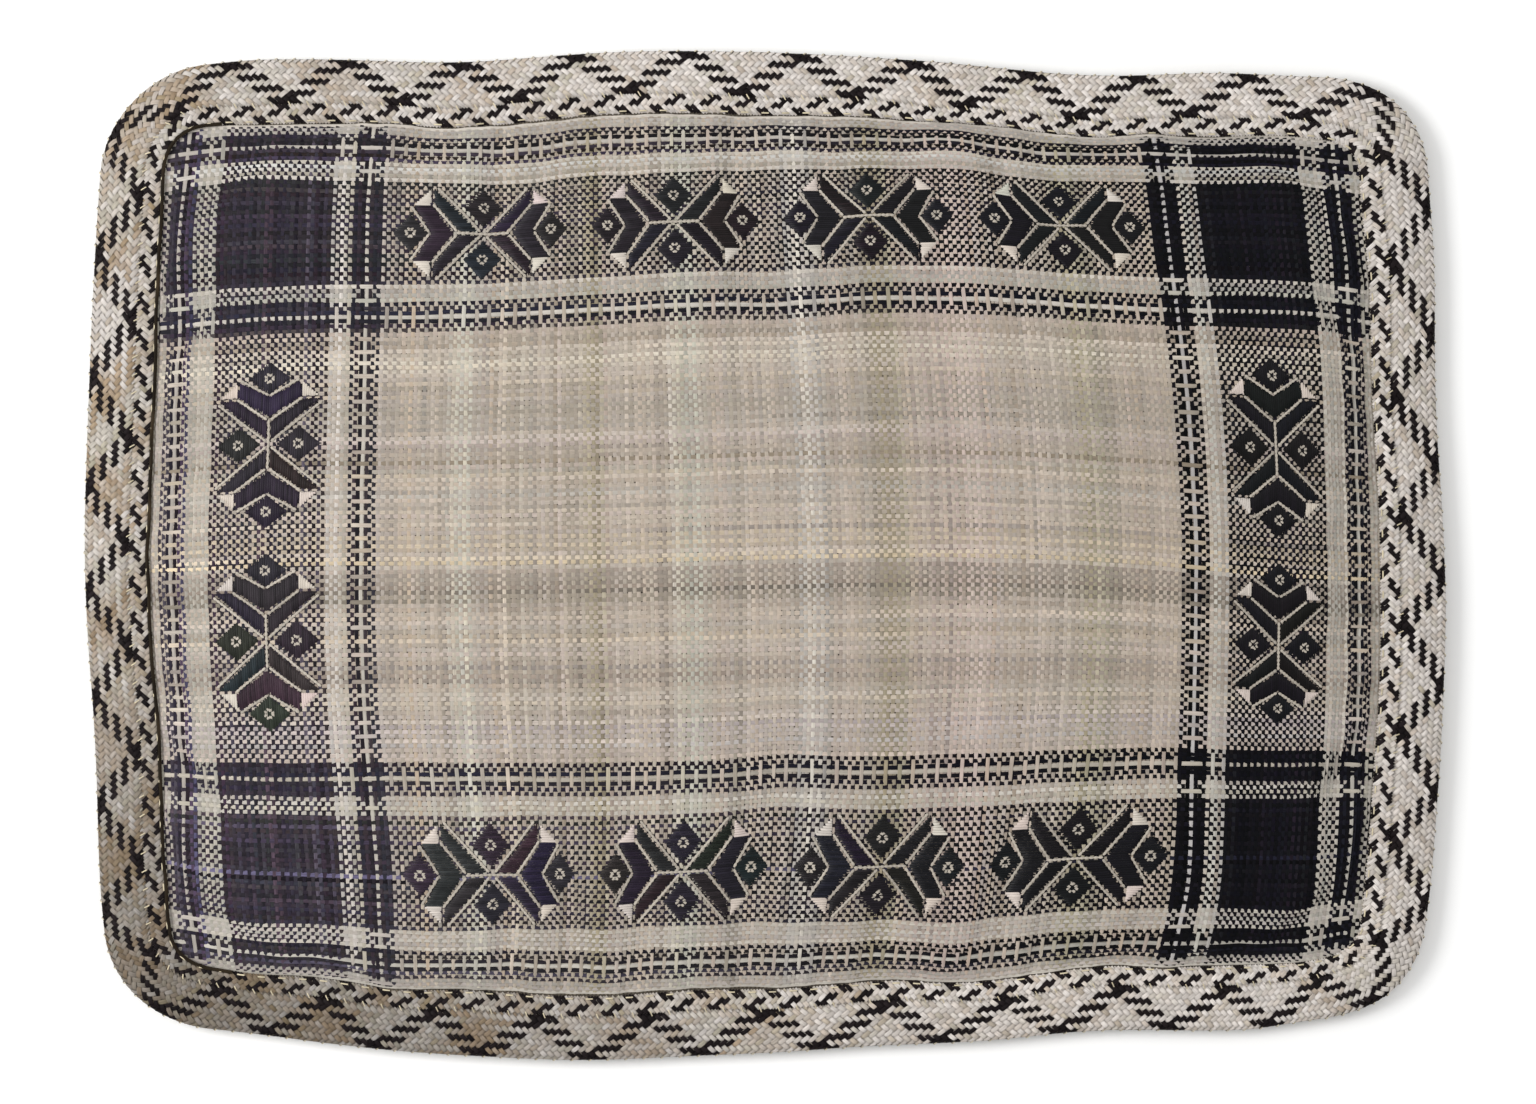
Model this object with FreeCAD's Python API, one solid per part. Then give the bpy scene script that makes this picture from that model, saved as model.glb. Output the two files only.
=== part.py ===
import FreeCAD, Part
import math
import os

# A slim rectangular floor cushion. Millimetres, +Z up. X runs along the long side, Y along the short
# side. The origin is the middle of the underside, and the cushion lies on z = 0.
# A place on the cushion's edge is given by its inset: the horizontal distance inward from the rim.

# Outline of the rim: four bowed sides joined by round corners, all tangent.
LENGTH = 600.0
DEPTH = 444.0
CORNER_RADIUS = 50.0
LONG_SIDE_BOW = 8.0
SHORT_SIDE_BOW = 6.0

# Edge, seen in section: a knife edge. The top and the underside slope to a seam half way up the rim.
RIM_INSET = 0.6
SLOPE_INSET = 17.4
SEAM_HEIGHT = 7.0
SEAM_GAP = 0.4
EDGE_TOP = 14.0

# Crown: the total height, and the flat margin round it.
TOTAL_HEIGHT = 42.0
CROWN_POLES_X = 33
CROWN_POLES_Y = 25
CROWN_SHAPE_POWER = 3.0
CROWN_FLAT_POWER = 20.0
SPLINE_DEGREE = 3

# Thickness of each layer, and the clearance between layers.
BRAID_THICKNESS = 1.6
BACKING_THICKNESS = 1.2
PANEL_THICKNESS = 0.8
INNER_BRAID_THICKNESS = 1.4
CASE_THICKNESS = 0.5
BATTING_THICKNESS = 4.0
INLAY_THICKNESS = 0.5
LAYER_GAP = 0.2
INLAY_GAP = 0.1

# Places across the edge, as insets: the two braids, the panel's margin, the case and the filling.
BRAID_INNER_INSET = 21.2
BRAID_JOIN_GAP = 0.6
INNER_BRAID_OUTER_INSET = BRAID_INNER_INSET + BRAID_JOIN_GAP
INNER_BRAID_INNER_INSET = 30.4
PANEL_EDGE_INSET = 22.4
PLATE_INSET = 18.0
CASE_RIM_INSET = 3.0
FILL_RIM_INSET = 4.5

# Star inlays: half length and half width of a motif, and where the motifs sit.
ROW_STAR_HALF = (37.5, 20.8)
COLUMN_STAR_HALF = (38.5, 23.0)
ROW_STAR_SPACING = 85.5
ROW_STAR_Y = 140.5
COLUMN_STAR_SPACING = 88.0
COLUMN_STAR_X = 216.0
RING_HALF_SIZE = 2.4
RING_HOLE_HALF_SIZE = 1.0

# Stitches: length, width, height and the pitch along their seam.
PANEL_STITCH = (3.2, 0.6, 0.35)
PANEL_STITCH_PITCH = 9.0
PANEL_STITCH_INSET = 29.6
JOIN_STITCH = (2.4, 0.3, 1.0)
JOIN_STITCH_PITCH = 8.0
RIM_STITCH = (0.7, 0.4, 4.0)
RIM_STITCH_PITCH = 8.0
CASE_STITCH = (2.6, 0.15, 0.3)
CASE_STITCH_PITCH = 8.0

# Depths of the layers below the cushion's upper face, and above its underside.
CASE_TOP_DEPTH = BRAID_THICKNESS + LAYER_GAP
CASE_BOTTOM_DEPTH = BACKING_THICKNESS + LAYER_GAP
FILL_TOP_DEPTH = CASE_TOP_DEPTH + CASE_THICKNESS + LAYER_GAP
FILL_BOTTOM_DEPTH = CASE_BOTTOM_DEPTH + CASE_THICKNESS + LAYER_GAP

# Heights of the layers' flat parts.
LAYER_FLOOR = EDGE_TOP - BRAID_THICKNESS
PANEL_TOP = LAYER_FLOOR + PANEL_THICKNESS
CROWN_RISE = TOTAL_HEIGHT - PANEL_TOP
INNER_BRAID_FLOOR = PANEL_TOP + LAYER_GAP
INNER_BRAID_TOP = INNER_BRAID_FLOOR + INNER_BRAID_THICKNESS
CROWN_HALF_X = LENGTH / 2 - SHORT_SIDE_BOW - INNER_BRAID_INNER_INSET
CROWN_HALF_Y = DEPTH / 2 - LONG_SIDE_BOW - INNER_BRAID_INNER_INSET


# ---------------------------------------------------------------- outline

def arc_radius(half_chord, bow):
    """Radius of the arc that rises by bow over a chord of twice half_chord."""
    return (half_chord ** 2 + bow ** 2) / (2 * bow)


def outline_arcs():
    """The rim's eight arcs, anticlockwise from the +X side: centre x, centre y, radius, start, end."""
    long_radius = arc_radius(LENGTH / 2 - CORNER_RADIUS, LONG_SIDE_BOW)
    short_radius = arc_radius(DEPTH / 2 - CORNER_RADIUS, SHORT_SIDE_BOW)
    short_x = LENGTH / 2 - short_radius
    long_y = DEPTH / 2 - long_radius
    # The corner's centre is where two circles cross: each is a side's circle less the corner's radius.
    long_reach = long_radius - CORNER_RADIUS
    short_reach = short_radius - CORNER_RADIUS
    apart = math.hypot(short_x, long_y)
    along = (long_reach ** 2 - short_reach ** 2 + apart ** 2) / (2 * apart)
    across = math.sqrt(long_reach ** 2 - along ** 2)
    unit_x = short_x / apart
    unit_y = -long_y / apart
    corner_x = unit_x * along - unit_y * across
    corner_y = long_y + unit_y * along + unit_x * across
    if corner_x < 0:
        corner_x = unit_x * along + unit_y * across
        corner_y = long_y + unit_y * along - unit_x * across
    low = math.atan2(corner_y, corner_x - short_x)
    high = math.atan2(corner_y - long_y, corner_x)
    half_turn = math.pi
    full_turn = 2 * math.pi
    return [
        (short_x, 0.0, short_radius, -low, low),
        (corner_x, corner_y, CORNER_RADIUS, low, high),
        (0.0, long_y, long_radius, high, half_turn - high),
        (-corner_x, corner_y, CORNER_RADIUS, half_turn - high, half_turn - low),
        (-short_x, 0.0, short_radius, half_turn - low, half_turn + low),
        (-corner_x, -corner_y, CORNER_RADIUS, half_turn + low, half_turn + high),
        (0.0, -long_y, long_radius, half_turn + high, full_turn - high),
        (corner_x, -corner_y, CORNER_RADIUS, full_turn - high, full_turn - low),
    ]


ARCS = outline_arcs()


def outline_wire(inset, height):
    """The closed outline at an inset from the rim, at a height."""
    edges = []
    for centre_x, centre_y, radius, start, end in ARCS:
        points = []
        for angle in (start, (start + end) / 2, end):
            reach = radius - inset
            x = centre_x + reach * math.cos(angle)
            y = centre_y + reach * math.sin(angle)
            points.append(FreeCAD.Vector(x, y, height))
        edges.append(Part.Arc(*points).toShape())
    return Part.Wire(edges)


def outline_prism(inset, low, high):
    """A solid with the outline at an inset, from low to high."""
    face = Part.Face(outline_wire(inset, low))
    return face.extrude(FreeCAD.Vector(0, 0, high - low))


def seam_places(inset, pitch):
    """Evenly spaced places along the outline at an inset: x, y and the outward angle in degrees."""
    places = []
    for centre_x, centre_y, radius, start, end in ARCS:
        reach = radius - inset
        count = max(1, round(reach * (end - start) / pitch))
        for index in range(count):
            angle = start + (end - start) * (index + 0.5) / count
            x = centre_x + reach * math.cos(angle)
            y = centre_y + reach * math.sin(angle)
            places.append((x, y, math.degrees(angle)))
    return places


# ---------------------------------------------------------------- section profiles

def top_height(inset):
    """Height of the cushion's upper face near the rim: a slope and then flat."""
    rim = SEAM_HEIGHT + SEAM_GAP / 2 + BRAID_THICKNESS
    share = min(1.0, (inset - RIM_INSET) / (SLOPE_INSET - RIM_INSET))
    return rim + (EDGE_TOP - rim) * share


def bottom_height(inset):
    """Height of the underside near the rim: a slope and then flat on the floor."""
    rim = SEAM_HEIGHT - SEAM_GAP / 2 - BACKING_THICKNESS
    share = min(1.0, (inset - RIM_INSET) / (SLOPE_INSET - RIM_INSET))
    return rim * (1 - share)


def band_profile(low, high, outer_inset, inner_inset):
    """The section between two heights that are given as functions of the inset."""
    bend = SLOPE_INSET
    return [
        (outer_inset, low(outer_inset)),
        (outer_inset, high(outer_inset)),
        (bend, high(bend)),
        (inner_inset, high(inner_inset)),
        (inner_inset, low(inner_inset)),
        (bend, low(bend)),
        (outer_inset, low(outer_inset)),
    ]


def top_skin(depth, thickness, outer_inset, inner_inset):
    """A skin's section at a depth below the cushion's upper face."""
    return band_profile(
        lambda inset: top_height(inset) - depth - thickness,
        lambda inset: top_height(inset) - depth, outer_inset, inner_inset)


def bottom_skin(depth, thickness, outer_inset, inner_inset):
    """A skin's section at a depth above the underside."""
    return band_profile(
        lambda inset: bottom_height(inset) + depth,
        lambda inset: bottom_height(inset) + depth + thickness, outer_inset, inner_inset)


def box_profile(outer_inset, inner_inset, low, high):
    """A plain rectangular section."""
    return [
        (outer_inset, low),
        (outer_inset, high),
        (inner_inset, high),
        (inner_inset, low),
        (outer_inset, low),
    ]


def fill_profile():
    """The filling's thin edge, between the two halves of the case."""
    return band_profile(
        lambda inset: bottom_height(inset) + FILL_BOTTOM_DEPTH,
        lambda inset: top_height(inset) - FILL_TOP_DEPTH, FILL_RIM_INSET, PLATE_INSET)


def profile_face(profile, radius):
    """A section as a face in the XZ plane, for turning about Z at an outline arc of this radius."""
    def place(point):
        return FreeCAD.Vector(radius - point[0], 0, point[1])

    return Part.Face(Part.makePolygon([place(point) for point in profile]))


def ring(profile):
    """Carry a section once round the outline, turning it about the centre of each arc."""
    up = FreeCAD.Vector(0, 0, 1)
    origin = FreeCAD.Vector(0, 0, 0)
    pieces = []
    for centre_x, centre_y, radius, start, end in ARCS:
        face = profile_face(profile, radius)
        face.rotate(origin, up, math.degrees(start))
        face.translate(FreeCAD.Vector(centre_x, centre_y, 0))
        centre = FreeCAD.Vector(centre_x, centre_y, 0)
        pieces.append(face.revolve(centre, up, math.degrees(end - start)))
    return pieces[0].multiFuse(pieces[1:]).removeSplitter()


# ---------------------------------------------------------------- crown

def crown_share(share):
    """How much of the crown is left at a share of the way from the middle to its edge."""
    if abs(share) >= 1:
        return 0.0
    spread = CROWN_FLAT_POWER - CROWN_SHAPE_POWER
    fall = CROWN_FLAT_POWER / spread * abs(share) ** CROWN_SHAPE_POWER
    return 1 - fall + CROWN_SHAPE_POWER / spread * abs(share) ** CROWN_FLAT_POWER


def clamped_knots(poles):
    """Knots, their multiplicities and the pole places, from 0 to 1, of a clamped even spline."""
    spans = poles - SPLINE_DEGREE
    knots = [index / spans for index in range(spans + 1)]
    mults = [SPLINE_DEGREE + 1] + [1] * (spans - 1) + [SPLINE_DEGREE + 1]
    full = [0.0] * SPLINE_DEGREE + knots + [1.0] * SPLINE_DEGREE
    places = [sum(full[index + 1:index + 1 + SPLINE_DEGREE]) / SPLINE_DEGREE for index in range(poles)]
    return knots, mults, places


def crown_face(base):
    """The crowned surface, flat at height base outside the crown."""
    knots_x, mults_x, places_x = clamped_knots(CROWN_POLES_X)
    knots_y, mults_y, places_y = clamped_knots(CROWN_POLES_Y)
    poles = []
    for place_x in places_x:
        x = (place_x - 0.5) * LENGTH
        row = []
        for place_y in places_y:
            y = (place_y - 0.5) * DEPTH
            share = crown_share(x / CROWN_HALF_X) * crown_share(y / CROWN_HALF_Y)
            row.append(FreeCAD.Vector(x, y, base + CROWN_RISE * share))
        poles.append(row)
    surface = Part.BSplineSurface()
    surface.buildFromPolesMultsKnots(
        poles, mults_x, mults_y, knots_x, knots_y, False, False, SPLINE_DEGREE, SPLINE_DEGREE)
    return surface.toShape()


def crown_sheet(base, thickness):
    """A crowned sheet of even vertical thickness over the whole cushion."""
    return crown_face(base).extrude(FreeCAD.Vector(0, 0, thickness))


def under_crown(base, low):
    """Everything under the crowned surface, down to the height low."""
    deep = crown_face(base).extrude(FreeCAD.Vector(0, 0, -TOTAL_HEIGHT))
    return deep.common(outline_prism(0, low, TOTAL_HEIGHT))


# ---------------------------------------------------------------- soft pieces

def cover_panel():
    """The woven top panel, whose margin lies under the inner braid."""
    return crown_sheet(LAYER_FLOOR, PANEL_THICKNESS).common(
        outline_prism(PANEL_EDGE_INSET, 0, TOTAL_HEIGHT * 2))


def outer_braid():
    """The wide braid: from the rim up the slope and inward."""
    return ring(top_skin(0, BRAID_THICKNESS, RIM_INSET, BRAID_INNER_INSET))


def inner_braid():
    """The narrow braid, which lies on the panel's margin."""
    return ring(box_profile(
        INNER_BRAID_OUTER_INSET, INNER_BRAID_INNER_INSET, INNER_BRAID_FLOOR, INNER_BRAID_TOP))


def backing_cloth():
    """The underside cloth, turned up along the lower slope to the seam."""
    skin = ring(bottom_skin(0, BACKING_THICKNESS, RIM_INSET, PLATE_INSET))
    plate = outline_prism(PLATE_INSET, 0, BACKING_THICKNESS)
    return skin.fuse(plate).removeSplitter()


def inner_case_bottom():
    """The lower half of the inner case."""
    skin = ring(bottom_skin(CASE_BOTTOM_DEPTH, CASE_THICKNESS, CASE_RIM_INSET, PLATE_INSET))
    plate = outline_prism(PLATE_INSET, CASE_BOTTOM_DEPTH, CASE_BOTTOM_DEPTH + CASE_THICKNESS)
    return skin.fuse(plate).removeSplitter()


def inner_case_top():
    """The upper half of the inner case, crowned like the cover."""
    skin = ring(top_skin(CASE_TOP_DEPTH, CASE_THICKNESS, CASE_RIM_INSET, PLATE_INSET))
    sheet = crown_sheet(EDGE_TOP - CASE_TOP_DEPTH - CASE_THICKNESS, CASE_THICKNESS).common(
        outline_prism(PLATE_INSET, 0, TOTAL_HEIGHT * 2))
    return skin.fuse(sheet).removeSplitter()


def filling():
    """The filling's whole space, inside the inner case."""
    top = EDGE_TOP - FILL_TOP_DEPTH
    middle = under_crown(top, FILL_BOTTOM_DEPTH).common(
        outline_prism(PLATE_INSET, FILL_BOTTOM_DEPTH, TOTAL_HEIGHT))
    return ring(fill_profile()).fuse(middle).removeSplitter()


def filling_layers():
    """The filling cut into its three layers: bottom wadding, core and top wadding."""
    whole = filling()
    low = FILL_BOTTOM_DEPTH + BATTING_THICKNESS
    high = EDGE_TOP - FILL_TOP_DEPTH - BATTING_THICKNESS
    bottom = whole.common(outline_prism(0, 0, low))
    above_low = whole.common(outline_prism(0, low + LAYER_GAP, TOTAL_HEIGHT))
    core = above_low.common(under_crown(high, 0))
    top = whole.cut(under_crown(high + LAYER_GAP, 0))
    return bottom, core, top


# ---------------------------------------------------------------- star inlays

def diamond(u, v, half_u, half_v):
    """The corners of a diamond."""
    return [(u + half_u, v), (u, v + half_v), (u - half_u, v), (u, v - half_v)]


def mirrored(points, flip_u, flip_v):
    """The same shape on another side of the motif."""
    return [(u * flip_u, v * flip_v) for u, v in points]


# One motif, in shares of its half length and half width.
LEAF = [(0.07, 0.05), (0.56, 0.97), (0.56, 0.64), (0.31, 0.05)]
CHEVRON = [(0.38, 0.0), (0.59, 0.61), (0.74, 0.60), (0.60, 0.0), (0.74, -0.60), (0.59, -0.61)]
PALE_TIP = [(0.58, 0.97), (0.58, 0.64), (0.76, 0.64)]
SIDE_DIAMOND = (0.83, 0.0, 0.17, 0.38)
END_DIAMOND = (0.0, 0.56, 0.18, 0.41)


def motif_diamonds():
    """The four diamonds of a motif."""
    side_u, side_v, side_half_u, side_half_v = SIDE_DIAMOND
    end_u, end_v, end_half_u, end_half_v = END_DIAMOND
    return [
        (side_u, side_v, side_half_u, side_half_v),
        (-side_u, side_v, side_half_u, side_half_v),
        (end_u, end_v, end_half_u, end_half_v),
        (end_u, -end_v, end_half_u, end_half_v),
    ]


def placed_prism(points, half, centre, turned):
    """A tall prism over a motif shape, at the motif's place; turned motifs run along Y."""
    corners = []
    for u, v in points:
        across = u * half[0]
        up = v * half[1]
        if turned:
            across, up = -up, across
        corners.append(FreeCAD.Vector(centre[0] + across, centre[1] + up, 0))
    face = Part.Face(Part.makePolygon(corners + corners[:1]))
    return face.extrude(FreeCAD.Vector(0, 0, TOTAL_HEIGHT * 2))


def ring_share(size, half):
    """A small diamond's half sizes, as shares of the motif's."""
    return size / half[0], size / half[1]


def star_pieces(half, centre, turned):
    """One motif's dark and pale prisms."""
    quarters = [(1, 1), (-1, 1), (-1, -1), (1, -1)]
    dark = [placed_prism(mirrored(LEAF, *flips), half, centre, turned) for flips in quarters]
    for flip in (1, -1):
        dark.append(placed_prism(mirrored(CHEVRON, flip, 1), half, centre, turned))
    pale = [placed_prism(mirrored(PALE_TIP, *flips), half, centre, turned) for flips in quarters]
    for u, v, half_u, half_v in motif_diamonds():
        whole = placed_prism(diamond(u, v, half_u, half_v), half, centre, turned)
        outer = placed_prism(diamond(u, v, *ring_share(RING_HALF_SIZE, half)), half, centre, turned)
        hole = placed_prism(diamond(u, v, *ring_share(RING_HOLE_HALF_SIZE, half)), half, centre, turned)
        dark.append(whole.cut(outer))
        dark.append(hole)
        pale.append(outer.cut(hole))
    return dark, pale


def star_places():
    """Every motif: its name, half sizes, centre and whether it runs along Y."""
    places = []
    for index in range(4):
        x = (index - 1.5) * ROW_STAR_SPACING
        places.append((f"star_top_{index + 1}", ROW_STAR_HALF, (x, ROW_STAR_Y), False))
        places.append((f"star_bottom_{index + 1}", ROW_STAR_HALF, (x, -ROW_STAR_Y), False))
    for index in range(2):
        y = (0.5 - index) * COLUMN_STAR_SPACING
        places.append((f"star_left_{index + 1}", COLUMN_STAR_HALF, (-COLUMN_STAR_X, y), True))
        places.append((f"star_right_{index + 1}", COLUMN_STAR_HALF, (COLUMN_STAR_X, y), True))
    return places


def inlay_nodes():
    """The dark and the pale inlay threads of every motif, lying on the crowned panel."""
    layer = crown_sheet(PANEL_TOP + INLAY_GAP, INLAY_THICKNESS)
    nodes = {}
    for name, half, centre, turned in star_places():
        dark, pale = star_pieces(half, centre, turned)
        for colour, prisms in (("dark", dark), ("pale", pale)):
            solids = []
            for prism in prisms:
                solids.extend(layer.common(prism).Solids)
            nodes[f"{name}_{colour}"] = Part.makeCompound(solids)
    return nodes


# ---------------------------------------------------------------- stitches

def stitch_row(size, inset, pitch, height, along_seam):
    """Small thread bars in a row along a seam; size is length, width and height.

    along_seam lays the length along the seam, otherwise it lies across it.
    """
    length, width, tall = size
    across, along = (width, length) if along_seam else (length, width)
    stitches = []
    for x, y, angle in seam_places(inset, pitch):
        corner = FreeCAD.Vector(-across / 2, -along / 2, 0)
        stitch = Part.makeBox(across, along, tall, corner)
        stitch.rotate(FreeCAD.Vector(0, 0, 0), FreeCAD.Vector(0, 0, 1), angle)
        stitch.translate(FreeCAD.Vector(x, y, height))
        stitches.append(stitch)
    return Part.makeCompound(stitches)


def stitch_nodes():
    """The four seams' stitches."""
    join_inset = BRAID_INNER_INSET + BRAID_JOIN_GAP / 2
    case_inset = CASE_RIM_INSET + CASE_THICKNESS / 2
    return {
        "panel_seam_stitches": stitch_row(
            PANEL_STITCH, PANEL_STITCH_INSET, PANEL_STITCH_PITCH, INNER_BRAID_TOP, True),
        "braid_join_stitches": stitch_row(
            JOIN_STITCH, join_inset, JOIN_STITCH_PITCH, LAYER_FLOOR + LAYER_GAP, True),
        "rim_whip_stitches": stitch_row(
            RIM_STITCH, RIM_STITCH[0] / 2 - LAYER_GAP, RIM_STITCH_PITCH,
            SEAM_HEIGHT - RIM_STITCH[2] / 2, False),
        "case_seam_stitches": stitch_row(
            CASE_STITCH, case_inset, CASE_STITCH_PITCH, SEAM_HEIGHT - CASE_STITCH[2] / 2, True),
    }


# ---------------------------------------------------------------- export

def build_nodes():
    """Every node of the cushion by name."""
    batting_bottom, core_pad, batting_top = filling_layers()
    nodes = {
        "cover_panel": cover_panel(),
        "outer_braid": outer_braid(),
        "inner_braid": inner_braid(),
        "backing_cloth": backing_cloth(),
        "inner_case_top": inner_case_top(),
        "inner_case_bottom": inner_case_bottom(),
        "batting_top": batting_top,
        "core_pad": core_pad,
        "batting_bottom": batting_bottom,
    }
    nodes.update(inlay_nodes())
    nodes.update(stitch_nodes())
    return nodes


def main():
    os.makedirs("parts", exist_ok=True)
    for name, shape in build_nodes().items():
        shape.exportStep(f"parts/{name}.step")
        box = shape.BoundBox
        print(f"{name}: {len(shape.Solids)} solids, valid {shape.isValid()}, "
              f"volume {shape.Volume / 1000:.1f} cm3, z {box.ZMin:.2f} to {box.ZMax:.2f}")


main()
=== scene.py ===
"""A slim floor cushion: plaid cloth woven from plant fibre, star inlays and a plaited straw border.

Everything is in metres in the CAD frame: X along the long side, Z up, underside on z = 0.
A place on the edge is given by its inset, the distance inward from the rim. A place on the cloth is
given by its loom coordinates: where a thread would lie if the cloth were pulled flat and square.
"""

import math

import bmesh
import bpy
import numpy as np
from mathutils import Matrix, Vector


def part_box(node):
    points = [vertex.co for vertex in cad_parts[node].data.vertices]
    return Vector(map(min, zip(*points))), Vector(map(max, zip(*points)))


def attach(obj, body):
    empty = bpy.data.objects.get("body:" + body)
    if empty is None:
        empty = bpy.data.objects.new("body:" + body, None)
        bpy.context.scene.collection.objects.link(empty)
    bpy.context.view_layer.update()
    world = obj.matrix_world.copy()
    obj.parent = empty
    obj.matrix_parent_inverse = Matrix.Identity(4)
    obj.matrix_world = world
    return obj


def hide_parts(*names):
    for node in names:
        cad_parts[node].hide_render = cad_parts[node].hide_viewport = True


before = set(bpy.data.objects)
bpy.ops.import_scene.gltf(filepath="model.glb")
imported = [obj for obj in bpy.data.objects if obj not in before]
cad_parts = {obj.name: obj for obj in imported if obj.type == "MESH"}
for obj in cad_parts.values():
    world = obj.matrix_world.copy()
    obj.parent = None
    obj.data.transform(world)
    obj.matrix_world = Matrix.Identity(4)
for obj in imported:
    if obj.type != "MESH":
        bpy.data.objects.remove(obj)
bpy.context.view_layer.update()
rng = np.random.default_rng(23)

# ---------------------------------------------------------------- sizes

# Outline of the rim, as in the CAD: bowed sides and round corners, all tangent.
RIM_INSET = 0.0006
BRAID_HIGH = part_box("outer_braid")[1]
HALF_X = BRAID_HIGH.x + RIM_INSET
HALF_Y = BRAID_HIGH.y + RIM_INSET
CORNER_RADIUS = 0.050
LONG_SIDE_BOW = 0.008
SHORT_SIDE_BOW = 0.006

# Edge in section: the top and the underside slope to a thin rim, with the seam half way up.
EDGE_TOP = BRAID_HIGH.z
SEAM_Z = EDGE_TOP / 2
SLOPE_INSET = 0.0174
RIM_HALF_HEIGHT = 0.0018
RIM_ROLL = 0.0016

# Crown of the woven panel.
PANEL_LOW, PANEL_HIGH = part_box("cover_panel")
PANEL_THICKNESS = 0.0008
MARGIN_Z = PANEL_LOW.z + PANEL_THICKNESS
CROWN_RISE = PANEL_HIGH.z - MARGIN_Z
SEAM_INSET = 0.0304
PANEL_EDGE_INSET = 0.0236
CROWN_POWER = 2.6

# Cloth: thread counts and spacing. Warps run along Y, wefts along X.
WARP_PITCH = 0.0018
WEFT_PITCH = 0.0019
FIELD, CREAM, DARK, LINE = range(4)
DOUBLE_STRIPE = [DARK] * 3 + [LINE] + [DARK] * 3
WARP_BORDER = [CREAM] * 3 + DOUBLE_STRIPE + [CREAM] * 6 + [DARK] * 28 + [CREAM] * 5 + DOUBLE_STRIPE
WARP_FIELD = 188
WEFT_BORDER = [CREAM] * 3 + DOUBLE_STRIPE + [CREAM] * 5 + [DARK] * 24 + [CREAM] * 4 + DOUBLE_STRIPE
WEFT_FIELD = 100
THREAD_RISE = 0.00022
THREAD_CROWN = 0.00020
THREAD_FILL = 0.47

# Wide braid and narrow braid: strands, black strands and repeats round the cushion.
WIDE_STRANDS = 16
WIDE_BLACK = 4
WIDE_REPEATS = 38
NARROW_STRANDS = 6
NARROW_BLACK = 2
NARROW_REPEATS = 114
NARROW_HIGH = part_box("inner_braid")[1]

# Star motifs, in loom coordinates.
ROW_STAR_HALF = (0.0375, 0.0208)
COLUMN_STAR_HALF = (0.0385, 0.0230)
ROW_STAR_SPACING = 0.0855
ROW_STAR_Y = 0.1387
COLUMN_STAR_SPACING = 0.0880
COLUMN_STAR_X = 0.2160


# ---------------------------------------------------------------- outline

def arc_radius(half_chord, bow):
    """Radius of the arc that rises by bow over a chord of twice half_chord."""
    return (half_chord ** 2 + bow ** 2) / (2 * bow)


LONG_RADIUS = arc_radius(HALF_X - CORNER_RADIUS, LONG_SIDE_BOW)
SHORT_RADIUS = arc_radius(HALF_Y - CORNER_RADIUS, SHORT_SIDE_BOW)
SHORT_CENTRE_X = HALF_X - SHORT_RADIUS
LONG_CENTRE_Y = HALF_Y - LONG_RADIUS


def corner_centre():
    """Centre of the +X +Y corner's arc, which is tangent to both sides' arcs."""
    long_reach = LONG_RADIUS - CORNER_RADIUS
    short_reach = SHORT_RADIUS - CORNER_RADIUS
    apart = math.hypot(SHORT_CENTRE_X, LONG_CENTRE_Y)
    along = (long_reach ** 2 - short_reach ** 2 + apart ** 2) / (2 * apart)
    across = math.sqrt(long_reach ** 2 - along ** 2)
    unit_x = SHORT_CENTRE_X / apart
    unit_y = -LONG_CENTRE_Y / apart
    sides = []
    for sign in (1, -1):
        x = unit_x * along - sign * unit_y * across
        y = LONG_CENTRE_Y + unit_y * along + sign * unit_x * across
        sides.append((x, y))
    return max(sides)


CORNER_X, CORNER_Y = corner_centre()
CORNER_START = math.atan2(CORNER_Y, CORNER_X - SHORT_CENTRE_X)
CORNER_END = math.atan2(CORNER_Y - LONG_CENTRE_Y, CORNER_X)


def outline_arcs():
    """The rim's eight arcs, anticlockwise from the +X side: centre, radius, start and end."""
    low, high, half, full = CORNER_START, CORNER_END, math.pi, 2 * math.pi
    return np.array([
        (SHORT_CENTRE_X, 0, SHORT_RADIUS, -low, low),
        (CORNER_X, CORNER_Y, CORNER_RADIUS, low, high),
        (0, LONG_CENTRE_Y, LONG_RADIUS, high, half - high),
        (-CORNER_X, CORNER_Y, CORNER_RADIUS, half - high, half - low),
        (-SHORT_CENTRE_X, 0, SHORT_RADIUS, half - low, half + low),
        (-CORNER_X, -CORNER_Y, CORNER_RADIUS, half + low, half + high),
        (0, -LONG_CENTRE_Y, LONG_RADIUS, half + high, full - high),
        (CORNER_X, -CORNER_Y, CORNER_RADIUS, full - high, full - low),
    ])


ARCS = outline_arcs()


def outline_length(inset):
    return float(np.sum((ARCS[:, 2] - inset) * (ARCS[:, 4] - ARCS[:, 3])))


def edge_point(distance, reference, inset, z):
    """Points on the edge: distance is measured along the outline at the reference inset."""
    lengths = (ARCS[:, 2] - reference) * (ARCS[:, 4] - ARCS[:, 3])
    ends = np.cumsum(lengths)
    place = np.mod(distance, ends[-1])
    index = np.minimum(np.searchsorted(ends, place, side="right"), len(ARCS) - 1)
    arc = ARCS[index]
    angle = arc[..., 3] + (place - (ends - lengths)[index]) / (arc[..., 2] - reference)
    reach = arc[..., 2] - inset
    x = arc[..., 0] + reach * np.cos(angle)
    y = arc[..., 1] + reach * np.sin(angle)
    outward = np.stack([np.cos(angle), np.sin(angle), np.zeros_like(angle)], -1)
    return np.stack([x, y, z + np.zeros_like(x)], -1), outward


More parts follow.
